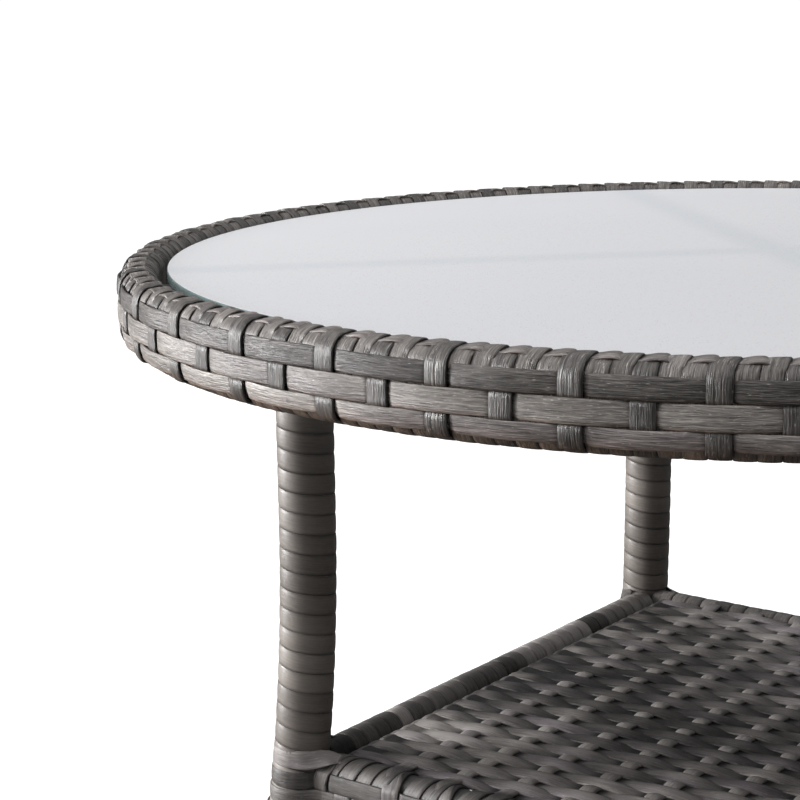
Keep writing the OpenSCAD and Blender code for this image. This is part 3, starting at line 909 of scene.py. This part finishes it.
def weft(strips, j):
    y = float(np.clip(WEFT_ZERO_Y + WEFT_PITCH * j, -WEFT_Y_LIMIT, WEFT_Y_LIMIT))
    x = np.arange(-ROD_X, ROD_X + 0.01, 1.7)
    warp = (x - WARP_ZERO_X) / WARP_GAP
    sign = 1.0 if j % 2 == 0 else -1.0
    wave = sign * np.cos(math.pi * warp)     # 1 over a warp, -1 under one
    height = WEFT_HEIGHT * wave
    height = np.sign(height) * np.abs(height) ** 0.85
    height = height * smooth_step((ROD_X - np.abs(x)) / 14.0)
    # strips are squeezed where they dive under a warp
    under = np.clip(-wave, 0, 1) ** 2
    over = np.clip(wave, 0, 1) ** 2
    width = 11.2 - 0.7 * under + 0.3 * over - 0.1 * rng.rand() + 0.1 * np.sin(x * 0.07 + j)
    if abs(j) == WEFT_LAST:
        width = width - 2.2
    groups_and_shade = np.interp(y + 0.10 * x, *zip(*WEFT_TONES)) + ODD_WEFT_TONES.get(j, 0.0)
    # painted shade in the corner beside the front left leg
    groups_and_shade = groups_and_shade - 0.34 * np.exp(-((x + 150.0) ** 2 + (y + 150.0) ** 2) / 17.0 ** 2)
    # and painted shade just beside each warp that lies over the weft
    warp_side_shade = np.abs(warp - np.round(warp)) * WARP_GAP
    warp_side_shade = np.exp(-((warp_side_shade - 5.4) / 2.3) ** 2) * (wave < 0)
    # painted light on the crests of the weft and painted shade where it dives under a warp
    tone = 0.06 * math.sin(j * 2.4) + 0.25 * over - 0.40 * under - 0.30 * warp_side_shade + groups_and_shade
    wavy_y = (y + 0.30 * np.sin(x * 0.045 + 1.7 * j) + 0.15 * rng.normal()
              + 0.35 * sign * np.sin(math.pi * warp))
    path = np.stack([x, wavy_y, WEAVE_Z + height], 1)
    normals = np.stack([0 * x, 0.05 * np.sin(x * 0.11 + j * 2.1), np.ones_like(x)], 1)
    # the ends curl round the rods
    curl = np.radians(90 - np.linspace(8, 205, 16))
    cos, sin = np.cos(curl), np.sin(curl)
    curls = []
    for side, end_y in ((-1, wavy_y[0]), (1, wavy_y[-1])):
        curls.append((
            np.stack([side * (ROD_X + CURL_R * cos), np.full(16, end_y), ROD_Z + CURL_R * sin], 1),
            np.stack([side * cos, np.zeros(16), sin], 1)))
    (left, left_normals), (right, right_normals) = curls
    path = np.concatenate([left[::-1], path, right])
    normals = np.concatenate([left_normals[::-1], normals, right_normals])
    soften(path, 2)
    strips.add(path, normals, np.pad(width, 16, constant_values=9.0), thickness=1.9,
               start=j * 331.0, seed=j % 5 * 0.4, tone=np.pad(tone, 16, constant_values=-0.05),
               dome=1.15, depth=1.7)


def warp(strips, k, x, front_end, back_end):
    """Up the front band, over the crown, across the shelf, and down the back band."""
    y = np.arange(-155.2, 155.21, 1.15)
    wave = (-1.0 if k % 2 == 0 else 1.0) * np.cos(math.pi * (y - WEFT_ZERO_Y) / WEFT_PITCH)
    fade = smooth_step((157.0 - np.abs(y)) / 9.0)
    z = WEAVE_Z + (0.25 + WARP_HEIGHT * wave) * fade + (1 - fade) * 0.9
    shelf = (np.stack([x + 0.25 * np.sin(y * 0.05 + k), y, z], 1),
             np.tile([0.0, 0.0, 1.0], (len(y), 1)),
             8.7 + 0.2 * wave,
             0.24 + 0.05 * np.sin(y * 0.34 + 2.3 * k) + 0.05 * np.sin(y * 0.11 + 1.1 * k))
    path, normals, width, tone = (np.concatenate([front, middle, back[::-1]])
                                  for front, middle, back in zip(front_end, shelf, back_end))
    soften(path, 2)
    lengths = [len(front_end[0]), len(y), len(back_end[0])]
    strips.add(path, normals, width, start=k * 443.0, seed=5.0 + k * 0.3, tone=tone,
               thickness=np.repeat([STRIP_T, 2.0, STRIP_T], lengths),
               flat=np.repeat([0.5, 0.0, 0.5], lengths))


# ------------------------------------------------------------------ glass
def glass_pane():
    # lower half of the rounded edge: inset from the glass radius, height
    lower = [(60, 0.0), (1.1, 0.0), (0.5, 0.12), (0.12, 0.5), (0.0, 1.1)]
    upper = [(inset, GLASS_T - height) for inset, height in reversed(lower)]
    profile = lower + [(0.0, GLASS_T / 2)] + upper
    segments, rings = 288, len(profile)
    vertices = [(0, 0, GLASS_Z)]
    for inset, height in profile:
        radius = GLASS_R - inset
        for angle in np.linspace(0, 2 * math.pi, segments, endpoint=False):
            vertices.append((radius * math.cos(angle), radius * math.sin(angle),
                             GLASS_Z + height))
    vertices.append((0, 0, GLASS_Z + GLASS_T))
    top = len(vertices) - 1
    faces, is_edge = [], []
    for j in range(segments):
        j2 = (j + 1) % segments
        faces.append((0, 1 + j2, 1 + j))
        for i in range(rings - 1):
            a, b = 1 + i * segments, 1 + (i + 1) * segments
            faces.append((a + j, a + j2, b + j2, b + j))
        last = 1 + (rings - 1) * segments
        faces.append((last + j, last + j2, top))
        is_edge += [False] + [2 <= i <= 7 for i in range(rings - 1)] + [False]
    mesh = bpy.data.meshes.new("glass_pane")
    mesh.from_pydata([tuple(value * MM for value in vertex) for vertex in vertices], [], faces)
    mesh.materials.append(frosted_glass())
    mesh.materials.append(green_glass_edge())
    mesh.polygons.foreach_set("material_index", np.array(is_edge, np.int32))
    mesh.polygons.foreach_set("use_smooth", np.array(is_edge, bool))
    mesh.update()
    return new_object("glass_pane", mesh)


# ------------------------------------------------------------------ make the pieces
# the random draws go in this order: rim wraps, band wraps, wefts
stakes, fills = Strips(), Strips()
rim_wraps(stakes, fills)

sides = (FRONT, RIGHT, BACK, LEFT)
band, corners, warps, wefts = Strips(), Strips(), Strips(), Strips()
band_rows = [Strips() for _ in BAND_ROWS]
warp_ends = {}
for angle in sides:
    band_wraps(band, angle, warp_ends)
    for index, row in enumerate(band_rows):
        band_row(row, index, angle)
    corner_strip(corners, angle)
for j in range(-WEFT_LAST, WEFT_LAST + 1):
    weft(wefts, j)
for k, x in zip(WARP_NUMBERS, WARP_X):
    warp(warps, k, x, warp_ends[(FRONT, k)], warp_ends[(BACK, k)])

fills.make("rim_wraps", WRAP_WICKER, "rim_wrap")
stakes.make("rim_stakes", WRAP_WICKER, "rim_wrap")
for i, row in enumerate(RIM_ROWS, 1):
    rim_row(*row).make(f"rim_strip_row_{i}", RIM_WICKER, f"rim_row_{i}")
crown_strip().make("rim_crown_strip", RIM_WICKER, "crown_strip")
for k, direction in enumerate(LEG_DIRECTIONS):
    leg_winding(k, direction).make(f"leg_winding_{k + 1}", LEG_WICKER, f"leg_wrap_{k + 1}")
band.make("band_wraps", BAND_WICKER, "belt_wrap")
for i, row in enumerate(band_rows, 1):
    row.make(f"band_strip_row_{i}", BAND_WICKER, f"belt_row_{i}")
corners.make("band_corner_strips", BAND_WICKER, "corner_strips")
warps.make("shelf_warp_strips", BAND_WICKER, "shelf_warps")
wefts.make("shelf_weft_strips", SHELF_WICKER, "shelf_weft")
place(glass_pane(), "glass", "glass_top")

# the CAD pieces that stay
for name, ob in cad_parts.items():
    if name.startswith(("glide_pad", "leg_plug", "foot_insert")):
        material = PLASTIC
    elif name.startswith(("glide_stem", "leg_bolts")):
        material = ZINC
    elif name == "glass_pads":
        material = SILICONE
    else:
        material = STEEL
    ob.data.materials.clear()
    ob.data.materials.append(material)


# ------------------------------------------------------------------ floor, light, camera (metres)
def add_floor(half=30.0):
    mesh = bpy.data.meshes.new("floor")
    corners = [(-half, -half, 0), (half, -half, 0), (half, half, 0), (-half, half, 0)]
    mesh.from_pydata(corners, [], [(0, 1, 2, 3)])
    mesh.materials.append(pale_floor())
    new_object("floor", mesh)


def add_world():
    """White to the camera; for lighting, dim near the horizon and brighter overhead."""
    world = bpy.data.worlds.new("studio")
    scene.world = world
    world.use_nodes = True
    g = Nodes(world.node_tree)
    output = g.node("OutputWorld")
    lighting, backdrop = g.node("Background"), g.node("Background")
    for background in (lighting, backdrop):
        background.inputs["Color"].default_value = (1, 1, 1, 1)
    backdrop.inputs["Strength"].default_value = 1.05
    up = g.split(g.node("TexCoord").outputs["Generated"])[2]
    overhead = g.rising(up, 0.30, 2.2)
    g.feed(lighting.inputs["Strength"], g.scaled(overhead, 0.84, 0.09))
    mix = g.node("MixShader")
    g.feed(mix.inputs[0], g.node("LightPath").outputs["Is Camera Ray"])
    g.feed(mix.inputs[1], lighting.outputs[0])
    g.feed(mix.inputs[2], backdrop.outputs[0])
    g.feed(output.inputs[0], mix.outputs[0])


def add_disk_light(name, location, target, size, power):
    light = bpy.data.lights.new(name, "AREA")
    light.shape = "DISK"
    light.size = size
    light.energy = power
    ob = new_object(name, light)
    ob.location = location
    ob.rotation_mode = "QUATERNION"
    ob.rotation_quaternion = (Vector(target) - Vector(location)).to_track_quat("-Z", "Y")


def add_camera(location, heading, pitch, roll, lens):
    """Angles in degrees: heading turns left from +Y, pitch looks down, roll is about the view."""
    data = bpy.data.cameras.new("camera")
    data.sensor_width = 36.0
    data.lens = lens
    data.clip_start = 0.02
    data.clip_end = 100
    camera = new_object("camera", data)
    heading, pitch, roll = (math.radians(angle) for angle in (heading, pitch, roll))
    forward = Vector((-math.sin(heading) * math.cos(pitch), math.cos(heading) * math.cos(pitch),
                      -math.sin(pitch)))
    level = forward.cross(Vector((0, 0, 1))).normalized()
    upright = level.cross(forward).normalized()
    right = level * math.cos(roll) + upright * math.sin(roll)
    up = upright * math.cos(roll) - level * math.sin(roll)
    rows = [(right[i], up[i], -forward[i], location[i]) for i in range(3)]
    camera.matrix_world = Matrix((*rows, (0, 0, 0, 1)))
    scene.camera = camera


add_floor()
add_world()
# Seen from the camera, the key stands low on the left and a little beyond the table, the side
# light low on the left and nearer, and the fill high in front.
add_disk_light("key", location=(-2.67, -1.37, 0.62), target=(0, 0, 0.33), size=1.4, power=150.0)
add_disk_light("side", location=(-1.95, -2.45, 0.55), target=(0, 0, 0.33), size=1.8, power=19.0)
add_disk_light("fill", location=(-0.1, -1.8, 2.8), target=(0, 0, 0.3), size=1.4, power=15.0)
add_camera(location=(0.46424, -0.92590, 0.57211), heading=37.087, pitch=11.649, roll=-0.892,
           lens=92.45)
scene.view_settings.view_transform = "Standard"

bpy.context.view_layer.update()
